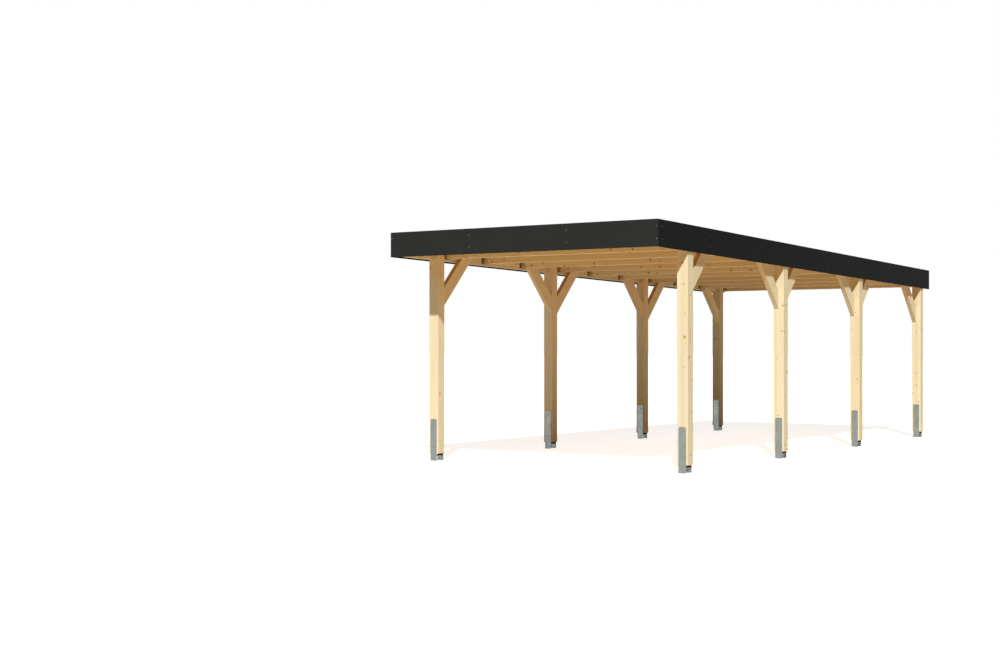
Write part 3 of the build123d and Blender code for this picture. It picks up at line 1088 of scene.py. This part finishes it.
def anchor_bolts(back):
    """Bolt ends on the front plates, or on the back ones."""
    spots = []
    for side in SIDES:
        for number in POSTS:
            low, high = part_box(f"anchor_{side}_{number}")
            x = (low.x + high.x) / 2
            for z in BOLT_HEIGHTS:
                spots.append(((x, high.y, z), (0, 1, 0)) if back else ((x, low.y, z), (0, -1, 0)))
    return spots


# Hanger nails: places on a flange from its fold, and on a cheek from the purlin, each with its height
NAIL_REACH = 0.04
HANGER_SHEET = 0.002
FLANGE_NAILS = ((0.010, 0.018), (0.022, 0.042), (0.010, 0.066), (0.022, 0.086))
CHEEK_NAILS = ((0.014, 0.030), (0.040, 0.022), (0.018, 0.070))


def hanger_nails():
    """Nails where a ray towards the hangers meets a face of theirs that looks back."""
    shape = bmesh.new()
    shape.from_mesh(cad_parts["joist_hangers"].data)
    steel = BVHTree.FromBMesh(shape)
    shape.free()
    tries = []
    for number in JOISTS:
        low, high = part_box(f"joist_{number:02d}")
        for side in SIDES.values():
            face = side * PURLIN_FACE
            for end, way in ((low.y, -1), (high.y, 1)):
                for across, up in FLANGE_NAILS:
                    y = end + way * (across + HANGER_SHEET)
                    start = Vector((face - side * NAIL_REACH, y, low.z + up))
                    tries.append((start, Vector((side, 0, 0))))
                for out, up in CHEEK_NAILS:
                    start = Vector((face - side * out, end + way * NAIL_REACH, low.z + up))
                    tries.append((start, Vector((0, -way, 0))))
    spots = []
    for start, toward in tries:
        place, normal, *_ = steel.ray_cast(start, toward, NAIL_REACH)
        if place is not None and normal.dot(toward) < -ALONG:
            spots.append((place, -toward))
    return spots


# Brace screws: two through the lower edge near the foot, three from inside into the purlin
FOOT_SCREWS = (0.075, 0.115)  # up the lower edge from the foot
SCREW_SPREAD = 0.013
HEAD_SCREWS = ((0.030, 0.045), (0.080, 0.095), (0.030, 0.105))  # from the plumb end, from the top
LEAST_BRACE = 0.1  # a post's side from which nothing reaches this far has no brace
SAME_FACE = 1e-4


def brace_foot(node, face):
    """Height of the lowest corner of a brace at the post's face."""
    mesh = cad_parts[node].data
    return min(corner.co.z for corner in mesh.vertices if abs(corner.co.y - face) < SAME_FACE)


def brace_screws():
    """Screws at the foot and the head of each brace."""
    spots = []
    for side in SIDES:
        inward = -SIDES[side]
        for number in POSTS:
            low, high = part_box(f"brace_{side}_{number}")
            post_low, post_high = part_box(f"post_{side}_{number}")
            inner = low.x if inward < 0 else high.x
            x_middle = (low.x + high.x) / 2
            for face, end, way in ((post_high.y, high.y, 1), (post_low.y, low.y, -1)):
                if (end - face) * way < LEAST_BRACE:
                    continue
                foot = brace_foot(f"brace_{side}_{number}", face)
                for along in FOOT_SCREWS:
                    rise = along / math.sqrt(2)
                    for aside in (-SCREW_SPREAD, SCREW_SPREAD):
                        spots.append(((x_middle + aside, face + way * rise, foot + rise), (0, way, -1)))
                for back, down in HEAD_SCREWS:
                    y = end - way * back
                    spots.append(((inner, y, roof_height(y, FRAME_TOP_LIFT) - down), (inward, 0, 0)))
    return spots


# Heads of the panel screws: darker along the sides, where they hardly show
HEAD_LIGHT = (0.27, 0.27, 0.265, 1.0)
HEAD_DARK = (0.19, 0.19, 0.187, 1.0)
SIDE_HEAD_TONE = 0.36
PANEL_HEADS = {"Radius": 0.0045, "Height": HEAD_ROOM}
NAIL_HEADS = {"Radius": 0.0035, "Drive": 0.8, "Drive Depth": 0.0001, "Sides": 8}
BRACE_HEADS = {"Radius": 0.005, "Height": 0.0006}
NUTS = {"Shank Height": 0.004, "Hexagon Height": 0.0065}


def make_fittings(plate, sheet):
    """Bolts, screws and nails, in the materials of the anchor plates and the hangers."""
    dull = zinc("dull screw head", HEAD_LIGHT, HEAD_DARK, 0.0)
    side_light, side_dark = toned(HEAD_LIGHT, SIDE_HEAD_TONE), toned(HEAD_DARK, SIDE_HEAD_TONE)
    dark = zinc("dark screw head", side_light, side_dark, 0.0)
    ends, along_sides = panel_screws()
    fittings = (
        ("bolt_heads", BOLTS, plate, anchor_bolts(False), {}),
        ("bolt_nuts", BOLTS, plate, anchor_bolts(True), NUTS),
        ("panel_screws", HEADS, dull, ends, PANEL_HEADS),
        ("side_panel_screws", HEADS, dark, along_sides, PANEL_HEADS),
        ("hanger_nails", HEADS, sheet, hanger_nails(), NAIL_HEADS),
        ("brace_screws", HEADS, sheet, brace_screws(), BRACE_HEADS),
    )
    for name, tree, material, spots, sizes in fittings:
        grow(name, tree, material, spots, **sizes)


def make_camera():
    """The photograph's own camera, which stood level."""
    camera = new_object("photo camera", bpy.data.cameras.new("photo camera"))
    camera.location = CAMERA_PLACE
    camera.rotation_euler = (math.pi / 2, 0.0, CAMERA_TURN)
    camera.data.lens = CAMERA_LENS
    camera.data.sensor_width = CAMERA_SENSOR
    camera.data.shift_y = CAMERA_SHIFT
    camera.data.clip_end = FLOOR_SIZE
    bpy.context.scene.camera = camera


def seen_or_mirrored(n):
    """1 for what the camera sees directly, mirrored or through glass, and 0 for light on the object."""
    path = n.add("ShaderNodeLightPath").outputs
    mirrored = n.math("MAXIMUM", path["Is Glossy Ray"], path["Is Transmission Ray"])
    return n.math("MAXIMUM", path["Is Camera Ray"], mirrored)


def make_world():
    """A dim sky that lights the object, and white where the camera sees past it."""
    world = bpy.data.worlds.new("studio")
    world.use_nodes = True
    n = Nodes(world.node_tree)
    n.tree.nodes.clear()
    soft = n.add("ShaderNodeBackground", {"Color": SKY_COLOR, "Strength": SKY_STRENGTH})
    white = n.add("ShaderNodeBackground", {"Color": WHITE, "Strength": 1.0})
    mix = n.add("ShaderNodeMixShader", {0: seen_or_mirrored(n), 1: soft.outputs[0], 2: white.outputs[0]})
    n.add("ShaderNodeOutputWorld", {"Surface": mix.outputs[0]})
    bpy.context.scene.world = world


def make_floor():
    """A pale floor that looks almost white and throws warm light back at the object."""
    bpy.ops.mesh.primitive_plane_add(size=FLOOR_SIZE)
    floor = bpy.context.object
    floor.name = "studio_floor"
    material = bpy.data.materials.new("pale floor")
    material.use_nodes = True
    n = Nodes(material.node_tree)
    n.tree.nodes.clear()
    paint = n.add("ShaderNodeBsdfDiffuse", {"Color": FLOOR_COLOR})
    glow = n.add("ShaderNodeEmission", {"Strength": n.math("MULTIPLY", seen_or_mirrored(n), FLOOR_LIFT)})
    both = n.add("ShaderNodeAddShader", {0: paint.outputs[0], 1: glow.outputs[0]})
    n.add("ShaderNodeOutputMaterial", {"Surface": both.outputs[0]})
    floor.data.materials.append(material)


def make_sun():
    """Sun from the front and the right, about 38 degrees high."""
    sun = new_object("key light", bpy.data.lights.new("key light", "SUN"))
    sun.data.energy = SUN_STRENGTH
    sun.data.angle = SUN_SPREAD
    sun.rotation_euler = Vector(SUN_TRAVEL).to_track_quat("-Z", "Y").to_euler()


make_camera()
make_world()
make_floor()
make_sun()
dress_posts()
dress_braces()
dress_roof_timbers()
anchor_plate, hanger_sheet = dress_steel()
dress_panels()
dress_skin()
make_boards()
make_fittings(anchor_plate, hanger_sheet)

bpy.context.scene.view_settings.view_transform = "Standard"
